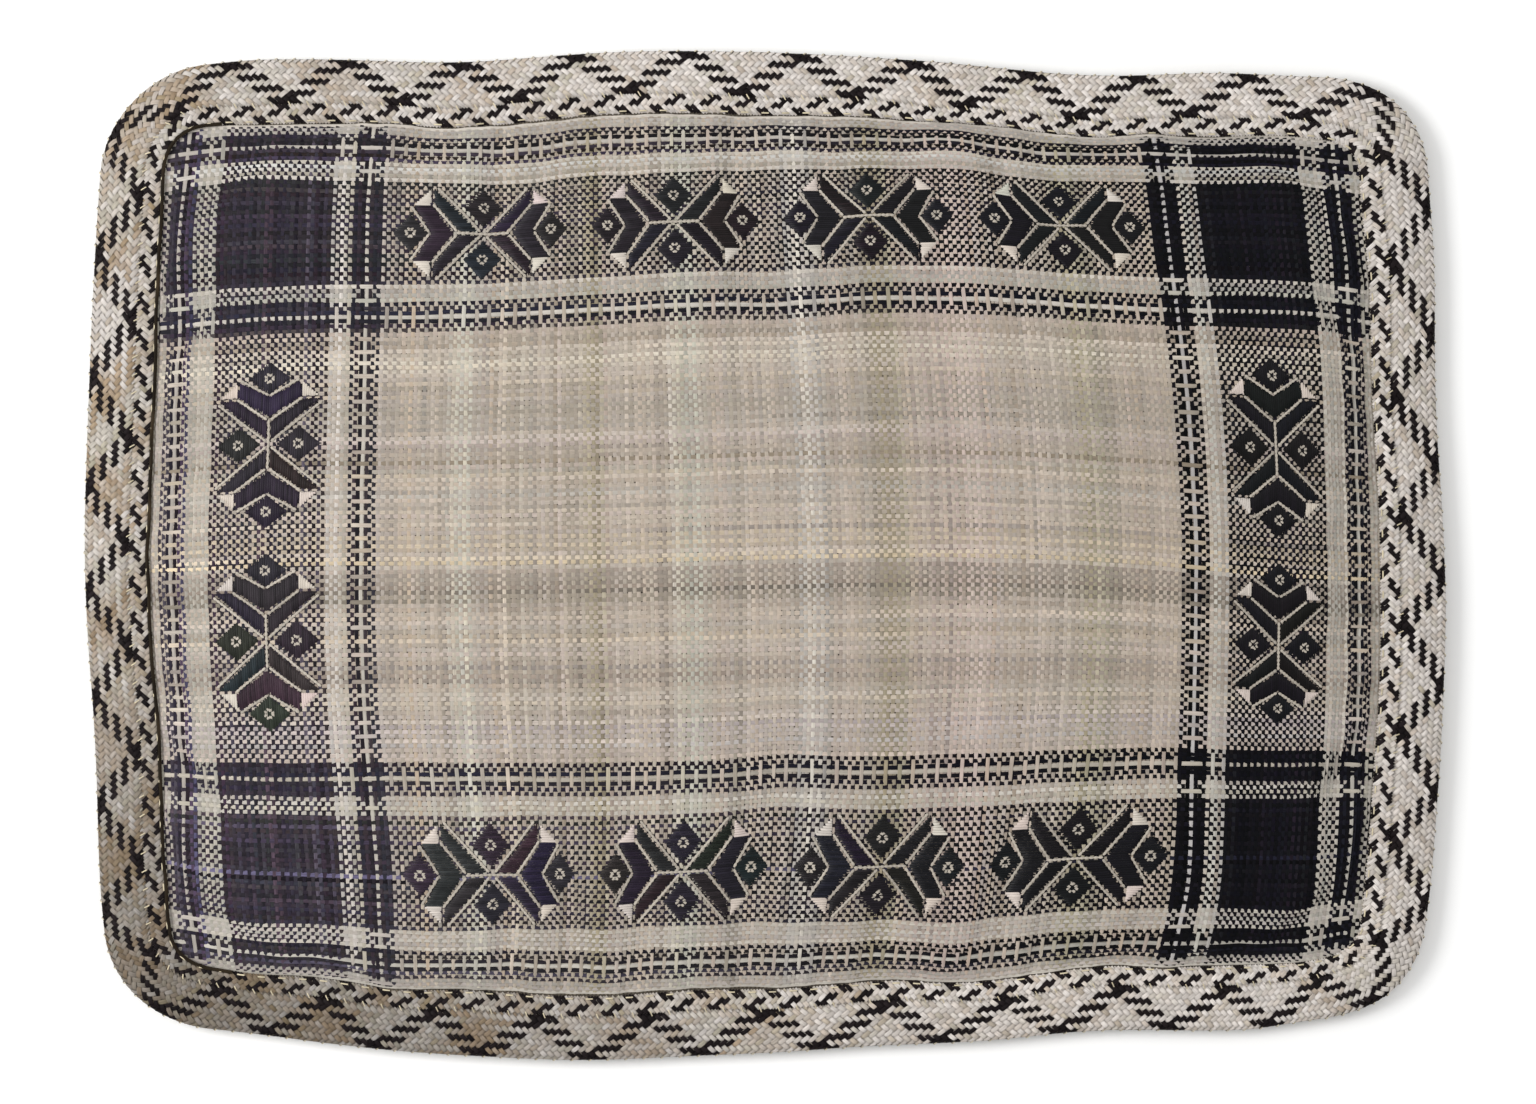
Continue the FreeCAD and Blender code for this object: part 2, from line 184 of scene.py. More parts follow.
def inset_of(x, y):
    """Inset of points in the plan."""
    x, y = np.abs(x), np.abs(y)
    short = SHORT_RADIUS - np.hypot(x - SHORT_CENTRE_X, y)
    long = LONG_RADIUS - np.hypot(x, y - LONG_CENTRE_Y)
    corner = CORNER_RADIUS - np.hypot(x - CORNER_X, y - CORNER_Y)
    angle = np.arctan2(y - CORNER_Y, x - CORNER_X)
    in_corner = (angle > CORNER_START) & (angle < CORNER_END)
    return np.where(in_corner, corner, np.minimum(short, long))


# ---------------------------------------------------------------- how hand work departs from square

# How far the real work has crept from the ideal cushion, in millimetres.
# Rim and star places: x, y, and the move in X or in Y.
RIM_CREEP_X = [
    (-296, 146, 0), (-300, 24, -1), (-299, -81, 2), (-295, -152, 1.5), (297, 129, -1.5), (299, 70, -3),
    (300, -15, 0.5), (298, -100, -0.5), (295, -152, -2), (-280, 201, 0), (280, 201, -1.5),
    (-280, -201, 3), (280, -201, -5), (-100, 221, 0), (100, 221, 0), (-100, -221, 0), (100, -221, 0),
    (-128, 140, 3.5), (-43, 140, 2), (43, 140, 2.5), (128, 140, 2),
    (-128, -140, 7.5), (-43, -140, 5.5), (43, -140, 7.5), (128, -140, 8),
]
RIM_CREEP_Y = [
    (-226, 216, 3), (-140, 219, -2), (0, 222, 0), (75, 221, -3.5), (146, 219, -7.5), (200, 217, -4),
    (250, 214, -3), (-248, -215, 4), (-200, -217, 1), (-138, -219, -2), (-29, -222, 0), (59, -221, 4.5),
    (146, -219, 8.5), (215, -216, 6), (256, -214, 8.5), (-280, 201, 0), (280, 201, 0),
    (-280, -201, 3), (280, -201, 5), (-300, 80, 0), (-300, -80, 0), (300, 80, 0), (300, -80, 0),
    (-217, 44, 5), (-217, -44, 5), (217, 44, 3), (217, -44, 2.5),
]
# Light lines of the stripes, by their loom place: the moves across each line at the marks along it.
ROW_MARKS = (-240, -160, -80, 0, 80, 160, 240)
ROW_CREEP = {
    177.65: (6.5, 2, 3.5, 5, 4.5, 0, 3),
    101.65: (2.5, 2.5, 4.5, 8, 9.5, 6, 6),
    -101.65: (0.5, 2.5, 3.5, 6, 7.5, 9.5, 6.5),
    -177.65: (-3, -5.5, -4.5, -1, -0.5, 4.5, 1.5),
}
COLUMN_MARKS = (-150, -75, 0, 75, 150)
COLUMN_CREEP = {
    -258.3: (1, 0, -2.5, -0.5, -1.5),
    -175.5: (4, 0.5, 0, 0.5, -0.5),
    175.5: (12, 12, 12, 8, 1.5),
    258.3: (0, 2, 2, 0.5, -3),
}
MILLIMETRE = 0.001
RIM_NEAR_X = 0.290
RIM_NEAR_Y = 0.210
WIDE_INNER_INSET = 0.0212


def bowed(loom_x, loom_y):
    """From loom coordinates to the plan: the cloth bows outward like the rim."""
    x = loom_x - loom_x / HALF_X * loom_y ** 2 / (2 * SHORT_RADIUS)
    y = loom_y - loom_y / HALF_Y * loom_x ** 2 / (2 * LONG_RADIUS)
    return x, y


def creep_table(rim, marks, lines, along_x):
    """Every place and move for one direction: the rim's, then those of the stripes' lines.

    The wide braid keeps its width, so its inner edge moves with the rim.
    """
    table = np.array(rim, float) * MILLIMETRE
    axis = 1 if along_x else 0
    on_rim = np.abs(table[:, axis]) > (RIM_NEAR_Y if along_x else RIM_NEAR_X)
    inner_edge = table[on_rim]
    inner_edge[:, axis] -= np.sign(inner_edge[:, axis]) * WIDE_INNER_INSET
    table = np.vstack([table, inner_edge])
    rows = []
    for line, moves in lines.items():
        for along, move in zip(marks, moves):
            loom = (along, line) if along_x else (line, along)
            x, y = bowed(loom[0] * MILLIMETRE, loom[1] * MILLIMETRE)
            rows.append((x, y, move * MILLIMETRE))
    return np.vstack([table, rows])


def spline_kernel(distance):
    """The thin-plate kernel."""
    safe = np.maximum(distance, 1e-9)
    return safe ** 2 * np.log(safe)


def fit_creep(table):
    """A bent thin plate through every place of a creep table."""
    places = table[:, :2]
    count = len(places)
    apart = np.hypot(*(places[:, None] - places[None]).transpose(2, 0, 1))
    flat = np.hstack([np.ones((count, 1)), places])
    system = np.zeros((count + 3, count + 3))
    system[:count, :count] = spline_kernel(apart)
    system[:count, count:] = flat
    system[count:, :count] = flat.T
    return places, np.linalg.solve(system, np.append(table[:, 2], [0, 0, 0]))


CREEP_FIELDS = [
    fit_creep(creep_table(RIM_CREEP_X, COLUMN_MARKS, COLUMN_CREEP, False)),
    fit_creep(creep_table(RIM_CREEP_Y, ROW_MARKS, ROW_CREEP, True)),
]


def settle(points):
    """Moves points of the ideal cushion to where the hand-made one has them."""
    out = points.copy()
    x, y = points[..., 0].ravel(), points[..., 1].ravel()
    for axis, (places, weights) in enumerate(CREEP_FIELDS):
        move = weights[-3] + weights[-2] * x + weights[-1] * y
        for place, weight in zip(places, weights):
            move = move + weight * spline_kernel(np.hypot(x - place[0], y - place[1]))
        out[..., axis] += move.reshape(points.shape[:-1])
    return out


# ---------------------------------------------------------------- crown

def crown_height(x, y):
    """Height of the panel's top: crowned inside the seam, flat outside it."""
    half_x = HALF_X - SEAM_INSET - y ** 2 / (2 * SHORT_RADIUS)
    half_y = HALF_Y - SEAM_INSET - x ** 2 / (2 * LONG_RADIUS)
    share_x = 1 - np.clip(np.abs(x) / half_x, 0, 1) ** CROWN_POWER
    share_y = 1 - np.clip(np.abs(y) / half_y, 0, 1) ** CROWN_POWER
    return MARGIN_Z + CROWN_RISE * share_x * share_y


# The cloth simulation's grid and settings.
SIM_STEP = 0.005
SIM_HALF_X = 0.290
SIM_HALF_Y = 0.210
SIM_FRAMES = 20
SIM_PRESSURE = 3.0
SIM_SLACK = -0.012
SIM_CAP = 0.0035


def sim_axes():
    columns = 2 * round(SIM_HALF_X / SIM_STEP) + 1
    rows = 2 * round(SIM_HALF_Y / SIM_STEP) + 1
    return np.linspace(-SIM_HALF_X, SIM_HALF_X, columns), np.linspace(-SIM_HALF_Y, SIM_HALF_Y, rows)


def grid_faces(rows, columns):
    """Quads of a grid whose points are stored row by row."""
    start = (np.arange(rows - 1)[:, None] * columns + np.arange(columns - 1)).ravel()
    return np.stack([start, start + 1, start + columns + 1, start + columns], 1)


def puffed_panel():
    """Blows up the sewn-down panel with the cloth solver; returns how far each grid point moves."""
    axis_x, axis_y = sim_axes()
    loom_x, loom_y = np.meshgrid(axis_x, axis_y)
    x, y = bowed(loom_x, loom_y)
    rest = np.stack([x, y, crown_height(x, y)], -1)
    rows, columns = loom_x.shape
    mesh = bpy.data.meshes.new("puff")
    mesh.from_pydata(rest.reshape(-1, 3).tolist(), [], grid_faces(rows, columns).tolist())
    sheet = bpy.data.objects.new("puff", mesh)
    bpy.context.scene.collection.objects.link(sheet)
    held = sheet.vertex_groups.new(name="sewn")
    sewn = np.flatnonzero(inset_of(x, y).ravel() < SEAM_INSET)
    held.add(sewn.tolist(), 1.0, "REPLACE")
    cloth = sheet.modifiers.new("cloth", "CLOTH")
    cloth.settings.vertex_group_mass = "sewn"
    cloth.settings.quality = 6
    cloth.settings.mass = 0.3
    cloth.settings.tension_stiffness = 20
    cloth.settings.compression_stiffness = 20
    cloth.settings.shear_stiffness = 8
    cloth.settings.bending_stiffness = 2.5
    cloth.settings.shrink_min = SIM_SLACK
    cloth.settings.use_pressure = True
    cloth.settings.uniform_pressure_force = SIM_PRESSURE
    cloth.settings.effector_weights.gravity = 0
    for number in range(1, SIM_FRAMES + 1):
        bpy.context.scene.frame_set(number)
    evaluated = sheet.evaluated_get(bpy.context.evaluated_depsgraph_get())
    moved = np.empty(len(evaluated.data.vertices) * 3, np.float32)
    evaluated.data.vertices.foreach_get("co", moved)
    bpy.data.objects.remove(sheet)
    bpy.context.scene.frame_set(1)
    shift = moved.reshape(rest.shape) - rest
    shift[..., 2] = np.maximum(shift[..., 2], 0)
    length = np.linalg.norm(shift, axis=-1, keepdims=True)
    return shift * np.minimum(1, SIM_CAP / np.maximum(length, 1e-9))


PUFF = puffed_panel()


def puff_at(loom_x, loom_y):
    """The simulated move at any place on the cloth, read smoothly between grid points."""
    rows, columns = PUFF.shape[:2]
    across = np.clip((loom_x + SIM_HALF_X) / SIM_STEP, 0, columns - 1.001)
    up = np.clip((loom_y + SIM_HALF_Y) / SIM_STEP, 0, rows - 1.001)
    column, row = across.astype(int), up.astype(int)
    share_x, share_y = (across - column)[..., None], (up - row)[..., None]
    low = PUFF[row, column] * (1 - share_x) + PUFF[row, column + 1] * share_x
    high = PUFF[row + 1, column] * (1 - share_x) + PUFF[row + 1, column + 1] * share_x
    return low * (1 - share_y) + high * share_y


def on_cloth(loom_x, loom_y, lift):
    """Points on the cloth's top, lifted by lift."""
    x, y = bowed(loom_x, loom_y)
    points = np.stack([x, y, crown_height(x, y)], -1) + puff_at(loom_x, loom_y)
    points[..., 2] += lift
    return settle(points)


# ---------------------------------------------------------------- mesh helpers

def srgb(red, green, blue):
    """A colour given as 0 to 255 display values, in linear light."""
    value = np.array([red, green, blue]) / 255
    return np.where(value <= 0.04045, value / 12.92, ((value + 0.055) / 1.055) ** 2.4)


def make_mesh(name, points, faces, tints=None, strands=None):
    """A smooth mesh object with its tint and strand attributes."""
    mesh = bpy.data.meshes.new(name)
    faces = np.asarray(faces, np.int32)
    mesh.vertices.add(len(points))
    mesh.vertices.foreach_set("co", np.asarray(points, np.float32).ravel())
    mesh.loops.add(faces.size)
    mesh.loops.foreach_set("vertex_index", faces.ravel())
    mesh.polygons.add(len(faces))
    mesh.polygons.foreach_set("loop_start", np.arange(0, faces.size, faces.shape[1], dtype=np.int32))
    mesh.update(calc_edges=True)
    mesh.polygons.foreach_set("use_smooth", np.ones(len(faces), bool))
    if tints is not None:
        layer = mesh.attributes.new("tint", "FLOAT_COLOR", "POINT")
        colours = np.hstack([tints, np.ones((len(tints), 1))])
        layer.data.foreach_set("color", colours.astype(np.float32).ravel())
    if strands is not None:
        layer = mesh.attributes.new("strand", "FLOAT_VECTOR", "POINT")
        layer.data.foreach_set("vector", np.asarray(strands, np.float32).ravel())
    mesh.validate()
    piece = bpy.data.objects.new(name, mesh)
    bpy.context.scene.collection.objects.link(piece)
    return piece


UP = np.array([0.0, 0.0, 1.0])


def upward(path):
    """An upward normal for every point of a path."""
    return np.broadcast_to(UP, path.shape)


class Ribbons:
    """Collects flat threads, each three points wide with a raised middle, into one mesh."""

    def __init__(self):
        self.points, self.faces, self.tints, self.strands = [], [], [], []
        self.count = 0

    def add(self, path, normal, half_width, crown, tint):
        """path and normal are n by 3; half_width is one number or n; tint is one colour or n."""
        along = np.gradient(path, axis=0)
        side = np.cross(along, normal)
        side /= np.linalg.norm(side, axis=1, keepdims=True)
        width = np.broadcast_to(np.asarray(half_width, float), (len(path),))[:, None]
        across = side * width
        rows = np.stack([path - across, path + normal * crown, path + across], 1)
        self.points.append(rows.reshape(-1, 3))
        colour = np.broadcast_to(np.asarray(tint, float), (len(path), 3))
        self.tints.append(np.repeat(colour, 3, axis=0))
        steps = np.linalg.norm(np.diff(path, axis=0), axis=1)
        travel = np.concatenate([[0], np.cumsum(steps)]) + rng.uniform(0, 3)
        lane = rng.uniform(0, 3)
        marks = np.zeros((len(path), 3, 3))
        marks[:, :, 0] = travel[:, None]
        marks[:, :, 1] = lane + np.array([-1, 0, 1]) * width
        self.strands.append(marks.reshape(-1, 3))
        start = self.count + 3 * np.arange(len(path) - 1)
        left = np.stack([start, start + 1, start + 4, start + 3], 1)
        self.faces.append(np.concatenate([left, left + 1]))
        self.count += 3 * len(path)

    def build(self, name):
        return make_mesh(name, np.concatenate(self.points), np.concatenate(self.faces),
                         np.concatenate(self.tints), np.concatenate(self.strands))


# ---------------------------------------------------------------- materials

def node_tree(name):
    material = bpy.data.materials.new(name)
    material.use_nodes = True
    nodes, links = material.node_tree.nodes, material.node_tree.links
    return material, nodes, links, nodes["Principled BSDF"]


def set_values(node, values):
    for name, value in values.items():
        node.inputs[name].default_value = value


def noise(nodes, links, coordinates, scale, detail, stretch):
    """A noise texture over stretched coordinates."""
    mapping = nodes.new("ShaderNodeMapping")
    set_values(mapping, {"Scale": stretch})
    links.new(coordinates, mapping.inputs["Vector"])
    texture = nodes.new("ShaderNodeTexNoise")
    set_values(texture, {"Scale": scale, "Detail": detail})
    links.new(mapping.outputs["Vector"], texture.inputs["Vector"])
    return texture.outputs["Fac"]


def ranged(nodes, links, value, low, high):
    """Spreads a 0.3 to 0.7 noise over low to high."""
    spread = nodes.new("ShaderNodeMapRange")
    set_values(spread, {"From Min": 0.3, "From Max": 0.7, "To Min": low, "To Max": high})
    links.new(value, spread.inputs["Value"])
    return spread.outputs["Result"]


def calculated(nodes, links, operation, *sockets):
    """A math node's result."""
    node = nodes.new("ShaderNodeMath")
    node.operation = operation
    for place, socket in enumerate(sockets):
        links.new(socket, node.inputs[place])
    return node.outputs[0]


def shaded(nodes, links, colour, factor):
    """A colour times a grey factor."""
    scale = nodes.new("ShaderNodeVectorMath")
    scale.operation = "SCALE"
    links.new(colour, scale.inputs[0])
    links.new(factor, scale.inputs["Scale"])
    return scale.outputs[0]


def attribute(nodes, name):
    """A mesh attribute, read as a colour or as a vector."""
    node = nodes.new("ShaderNodeAttribute")
    node.attribute_name = name
    return node.outputs


def add_bump(nodes, links, height, strength, distance, shader):
    bump = nodes.new("ShaderNodeBump")
    set_values(bump, {"Strength": strength, "Distance": distance})
    links.new(height, bump.inputs["Height"])
    links.new(bump.outputs["Normal"], shader.inputs["Normal"])


def fibre_material(name, roughness, specular, contrast):
    """Split plant fibre: the piece's own tints, streaked along the strand, with fine ridges."""
    material, nodes, links, shader = node_tree(name)
    strand = attribute(nodes, "strand")["Vector"]
    streak = noise(nodes, links, strand, 1.0, 3.0, (120, 2600, 1))
    mottle = noise(nodes, links, strand, 1.0, 2.0, (160, 160, 1))
    factor = calculated(nodes, links, "MULTIPLY",
                        ranged(nodes, links, streak, 1 - contrast, 1 + contrast),
                        ranged(nodes, links, mottle, 1 - contrast / 2, 1 + contrast / 2))
    tinted = shaded(nodes, links, attribute(nodes, "tint")["Color"], factor)
    links.new(tinted, shader.inputs["Base Color"])
    links.new(ranged(nodes, links, mottle, roughness - 0.08, roughness + 0.08), shader.inputs["Roughness"])
    add_bump(nodes, links, streak, 0.5, 0.0001, shader)
    set_values(shader, {"Specular IOR Level": specular})
    return material


def weave_material(name, thread, gap, pitch, roughness):
    """A plain weave drawn by its crossings, with painted shade in the gaps between them, for cloth that is
    not built thread by thread.
    """
    material, nodes, links, shader = node_tree(name)
    strand = attribute(nodes, "strand")["Vector"]
    split = nodes.new("ShaderNodeSeparateXYZ")
    links.new(strand, split.inputs[0])
    waves = []
    for axis in ("X", "Y"):
        turns = nodes.new("ShaderNodeMath")
        turns.operation = "MULTIPLY"
        turns.inputs[1].default_value = math.pi / pitch
        links.new(split.outputs[axis], turns.inputs[0])
        waves.append(calculated(nodes, links, "SINE", turns.outputs[0]))
    height = calculated(nodes, links, "ABSOLUTE", calculated(nodes, links, "MULTIPLY", *waves))
    fibre = noise(nodes, links, strand, 900, 3, (1, 1, 1))
    blotch = noise(nodes, links, strand, 22, 2, (1, 1, 1))
    # The gap colour is painted shade: the hollows between crossings are drawn darker.
    mix = nodes.new("ShaderNodeMix")
    mix.data_type = "RGBA"
    set_values(mix, {"A": (*gap, 1), "B": (*thread, 1)})
    links.new(ranged(nodes, links, height, 0.1, 1.0), mix.inputs["Factor"])
    factor = calculated(nodes, links, "MULTIPLY", ranged(nodes, links, fibre, 0.85, 1.12),
                        ranged(nodes, links, blotch, 0.88, 1.08))
    links.new(shaded(nodes, links, mix.outputs["Result"], factor), shader.inputs["Base Color"])
    links.new(ranged(nodes, links, fibre, roughness - 0.06, roughness + 0.06), shader.inputs["Roughness"])
    add_bump(nodes, links, height, 0.8, 0.0004, shader)
    set_values(shader, {"Sheen Weight": 0.2, "Specular IOR Level": 0.25})
    return material


LIGHT_FIBRE = fibre_material("light_fibre", 0.66, 0.20, 0.16)
DARK_FIBRE = fibre_material("dark_fibre", 0.60, 0.06, 0.35)
STRAW = fibre_material("straw", 0.62, 0.20, 0.20)
BLACK_STRAW = fibre_material("black_straw", 0.60, 0.06, 0.35)
INLAY_DARK = fibre_material("inlay_dark", 0.45, 0.12, 0.35)
INLAY_PALE = fibre_material("inlay_pale", 0.50, 0.20, 0.14)


def finish_piece(piece, material, slot_name, *nodes):
    """Gives a piece its material and its body, and hides the CAD nodes that it stands for; slot_name is
    not used.
    """
    piece.data.materials.clear()
    piece.data.materials.append(material)
    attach(piece, "root")
    if nodes:
        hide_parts(*nodes)
    return piece


# ---------------------------------------------------------------- thread colours

FIELD_BEIGE = srgb(159, 148, 136)
CREAM_WHITE = srgb(162, 156, 147)
# The dark threads carry painted light and sheen: lit purple grey at the left, lighter still low down, near
# black in the shade to the right.
CHARCOAL_LIT_LEFT = srgb(42, 37, 44)
CHARCOAL_SHADED_RIGHT = srgb(12, 11, 16)
CHARCOAL_LOW_LEFT_LIGHT = 0.5
LIGHT_FALLOFF_START_X = -0.26
LIGHT_FALLOFF_LENGTH = 0.42
LOW_LEFT_LIGHT_DEPTH = 0.2
DYE_SPREAD = np.array([0.20, 0.15, 0.25])

# Strongest streaks of the light threads, in millimetres: place across the cloth, half width; then how
# much brighter, redder and greener than the other threads.
WARP_STREAKS = [
    (-135, 5, 0.27, -0.04, 0.04), (-80, 4, -0.34, 0.04, 0.06), (-40, 9, 0.22, -0.06, 0.04),
    (12, 7, 0.30, -0.06, 0.00), (45, 6, -0.38, 0.04, 0.06), (75, 16, 0.10, 0.02, -0.04),
    (130, 9, -0.15, 0.02, 0.05),
]
WEFT_STREAKS = [
    (-84, 10, 0.26, -0.04, -0.02), (-57, 6, -0.18, 0.02, -0.02), (-42, 2, -0.30, 0.04, 0.00),
    (-22, 8, -0.34, 0.02, 0.00), (-10, 2, 0.30, 0.06, 0.04), (34, 2, -0.30, 0.04, 0.00),
    (80, 7, 0.15, -0.02, 0.02), (89, 2, -0.30, 0.04, 0.00),
]
FIBRE_SPREAD = 0.08
THREAD_SPREAD = 0.09
THREAD_DRIFT = 0.07
WARM_SPREAD = 0.020
GREEN_SPREAD = 0.012
DARK_DYE_SPREAD = 0.45
SLOW_SPREAD = 0.05


def smooth_noise(count, reach):
    """Seeded noise along a line, smoothed over reach steps, with unit spread."""
    raw = rng.normal(size=count + 4 * reach)
    window = np.hanning(2 * reach + 1)
    smooth = np.convolve(raw, window / np.linalg.norm(window), "same")
    return smooth[2 * reach:2 * reach + count]


def thread_tints(kinds, places, streaks):
    """One colour per thread: its kind's colour, with streaks of brightness and of hue."""
    count = len(kinds)
    centre, reach, bright, red, green = np.array(streaks).T
    share = np.exp(-((places[:, None] / MILLIMETRE - centre) / reach) ** 4)
    drift = THREAD_DRIFT * smooth_noise(count, 2)
    light = 1 + share @ bright + drift + THREAD_SPREAD * rng.normal(size=count)
    warm = share @ red + WARM_SPREAD * rng.normal(size=count)
    leafy = share @ green + GREEN_SPREAD * rng.normal(size=count)
    base = np.where((kinds == FIELD)[:, None], FIELD_BEIGE, CREAM_WHITE)
    hue = np.stack([1 + warm, 1 + leafy, 1 - 1.3 * warm - 0.8 * leafy], 1)
    return base * np.maximum(light, 0.3)[:, None] * hue


def pieced(count):
    """Brightness along one thread, which is knotted together from a few fibres."""
    joins = np.sort(rng.integers(0, count, 3))
    fibre = np.searchsorted(joins, np.arange(count))
    return (1 + FIBRE_SPREAD * rng.normal(size=4))[fibre][:, None]


def charcoal_painted_light(path, shade):
    """The dark dye with painted light and sheen: lit purple grey at the left, lighter still low down, and
    black in the shade to the right.
    """
    share = np.clip((path[:, :1] - LIGHT_FALLOFF_START_X) / LIGHT_FALLOFF_LENGTH, 0, 1)
    share = share * share * (3 - 2 * share)
    low_left_light = 1 + CHARCOAL_LOW_LEFT_LIGHT * np.clip(0.3 - path[:, 1:2] / LOW_LEFT_LIGHT_DEPTH, 0, 1)
    return (CHARCOAL_LIT_LEFT * low_left_light * (1 - share) + CHARCOAL_SHADED_RIGHT * share) * shade


# ---------------------------------------------------------------- woven panel

def thread_places(count, pitch):
    """Where the threads lie, unevenly beaten, centred on zero."""
    steps = pitch * (1 + 0.05 * rng.normal(size=count))
    places = np.cumsum(steps) - steps / 2
    places *= count * pitch / np.sum(steps)
    return places - count * pitch / 2


WARP_KINDS = np.array(WARP_BORDER + [FIELD] * WARP_FIELD + WARP_BORDER[::-1])
WEFT_KINDS = np.array(WEFT_BORDER + [FIELD] * WEFT_FIELD + WEFT_BORDER[::-1])
WARP_X = thread_places(len(WARP_KINDS), WARP_PITCH)
WEFT_Y = thread_places(len(WEFT_KINDS), WEFT_PITCH)


def beside_line(kinds):
    """True for the dark threads on either side of a stripe's light line."""
    line = kinds == LINE
    return np.roll(line, 1) | np.roll(line, -1)


def warp_over():
    """Which thread is on top at each crossing: True where the warp is.

    Plain weave, but the dark threads beside a light line float over two threads of the light cloth,
    and the third one floats over the line and both of them.
    """
    warp = np.arange(len(WARP_KINDS))[:, None]
    weft = np.arange(len(WEFT_KINDS))[None]
    over = (warp + weft) % 2 == 0
    light_warp = (WARP_KINDS != DARK)[:, None]
    light_weft = (WEFT_KINDS != DARK)[None]
    weft_ladder = (beside_line(WEFT_KINDS) | (WEFT_KINDS == LINE))[None] & light_warp
    warp_ladder = (beside_line(WARP_KINDS) | (WARP_KINDS == LINE))[:, None] & light_weft
    over = np.where(weft_ladder, warp % 3 == 0, over)
    return np.where(warp_ladder, weft % 3 != 1, over)


def add_threads(light, dark, along_y):
    """Lays every warp, or every weft, over and under its crossings."""
    over = warp_over()
    kinds, crossings = (WARP_KINDS, WEFT_Y) if along_y else (WEFT_KINDS, WARP_X)
    places = WARP_X if along_y else WEFT_Y
    pitch = WARP_PITCH if along_y else WEFT_PITCH
    states = over if along_y else ~over.T
    tints = thread_tints(kinds, places, WARP_STREAKS if along_y else WEFT_STREAKS)
    for index, kind in enumerate(kinds):
        wander = 0.08 * pitch * smooth_noise(len(crossings), 9)
        lane = places[index] + wander
        loom_x, loom_y = (lane, crossings) if along_y else (crossings, lane)
        x, y = bowed(loom_x, loom_y)
        inside = np.flatnonzero(inset_of(x, y) > PANEL_EDGE_INSET)
        if len(inside) < 2:
            continue
        part = slice(inside[0], inside[-1] + 1)
        lift = np.where(states[index][part], THREAD_RISE, -THREAD_RISE) - THREAD_RISE - THREAD_CROWN
        path = on_cloth(loom_x[part], loom_y[part], lift)
        slow = pieced(len(path)) + SLOW_SPREAD * smooth_noise(len(path), 14)[:, None]
        if kind == DARK:
            hue = rng.normal(0, 0.5, 3) * DYE_SPREAD
            # The dark thread's tint carries the painted light and sheen of the charcoal ramp.
            tint = charcoal_painted_light(path, np.exp(hue + rng.normal(0, DARK_DYE_SPREAD))) * slow
        else:
            tint = tints[index] * slow
        width = THREAD_FILL * pitch * rng.uniform(0.94, 1.04)
        target = dark if kind == DARK else light
        target.add(path, upward(path), width, THREAD_CROWN, tint)


def make_woven_panel():
    """The warps and wefts of the plaid cloth."""
    for name, along_y in (("warp", True), ("weft", False)):
        light, dark = Ribbons(), Ribbons()
        add_threads(light, dark, along_y)
        finish_piece(light.build(f"{name}_threads_light"), LIGHT_FIBRE, "woven_cloth")
        finish_piece(dark.build(f"{name}_threads_dark"), DARK_FIBRE, "dark_thread")


SHADE_SHEET_STEP = 0.004
SHADE_SHEET_DEPTH = 0.0010


def make_gap_shade_sheet():
    """A dark sheet under the threads, which closes the cloth: painted shade for the shadow seen between
    the threads.
    """
    columns = np.arange(-SIM_HALF_X, SIM_HALF_X + SHADE_SHEET_STEP / 2, SHADE_SHEET_STEP)
    rows = np.arange(-SIM_HALF_Y, SIM_HALF_Y + SHADE_SHEET_STEP / 2, SHADE_SHEET_STEP)
    loom_x, loom_y = np.meshgrid(columns, rows)
    x, y = bowed(loom_x, loom_y)
    points = on_cloth(loom_x, loom_y, -SHADE_SHEET_DEPTH).reshape(-1, 3)
    faces = grid_faces(len(rows), len(columns))
    kept = faces[(inset_of(x, y).ravel()[faces] > PANEL_EDGE_INSET).all(axis=1)]
    used, faces = np.unique(kept, return_inverse=True)
    faces = faces.reshape(-1, 4)
    marks = np.stack([loom_x.ravel(), loom_y.ravel(), np.zeros(loom_x.size)], 1)[used]
    shade_sheet = make_mesh("cover_gap_shade_sheet", points[used], faces, None, marks)
    # Its thread and gap colours are dark: painted shade between the threads.
    material = weave_material("gap_shade_sheet", srgb(120, 110, 94), srgb(70, 62, 54), WARP_PITCH, 0.8)
    finish_piece(shade_sheet, material, "woven_cloth", "cover_panel")


# ---------------------------------------------------------------- star inlays

LEAF = [(0.06, 0.05), (0.55, 0.97), (0.55, 0.65), (0.28, 0.05)]
CHEVRON = [(0.33, 0.0), (0.58, 0.61), (0.77, 0.59), (0.58, 0.0), (0.77, -0.59), (0.58, -0.61)]
PALE_TIP = [(0.58, 0.94), (0.58, 0.61), (0.765, 0.61)]
SIDE_DIAMOND = (0.80, 0.0, 0.20, 0.40)
END_DIAMOND = (0.0, 0.57, 0.22, 0.42)
PALE_LINES = [
    ((0.035, 0.05), (0.51, 0.99)),
    ((0.30, 0.04), (0.56, 0.62)),
    ((0.60, 0.02), (0.79, 0.56)),
]
CENTRE_LINE = ((-0.30, 0.0), (0.30, 0.0))
QUARTERS = ((1, 1), (-1, 1), (-1, -1), (1, -1))
RING_HALF = 0.0021
RING_THICKNESS = 1.8
FLOAT_PITCH = 0.00095
PALE_PINK = srgb(190, 179, 170)
LINE_GREY = srgb(166, 158, 146)
FLOAT_LIFT = 0.00035
FLOAT_STEP = 0.003
FLOAT_TUCK = 0.0006
FLOAT_SINK = 0.0003
FLOAT_CROWN = 0.00016
DARK_FLOAT_SPREAD = 0.38
PALE_FLOAT_SPREAD = 0.06
DARK_FLOAT_SHADE = 0.75
BEAD_HALF = 0.00030
BEAD_SWELL = 0.00028


def mirrored(points, flips):
    return [(u * flips[0], v * flips[1]) for u, v in points]


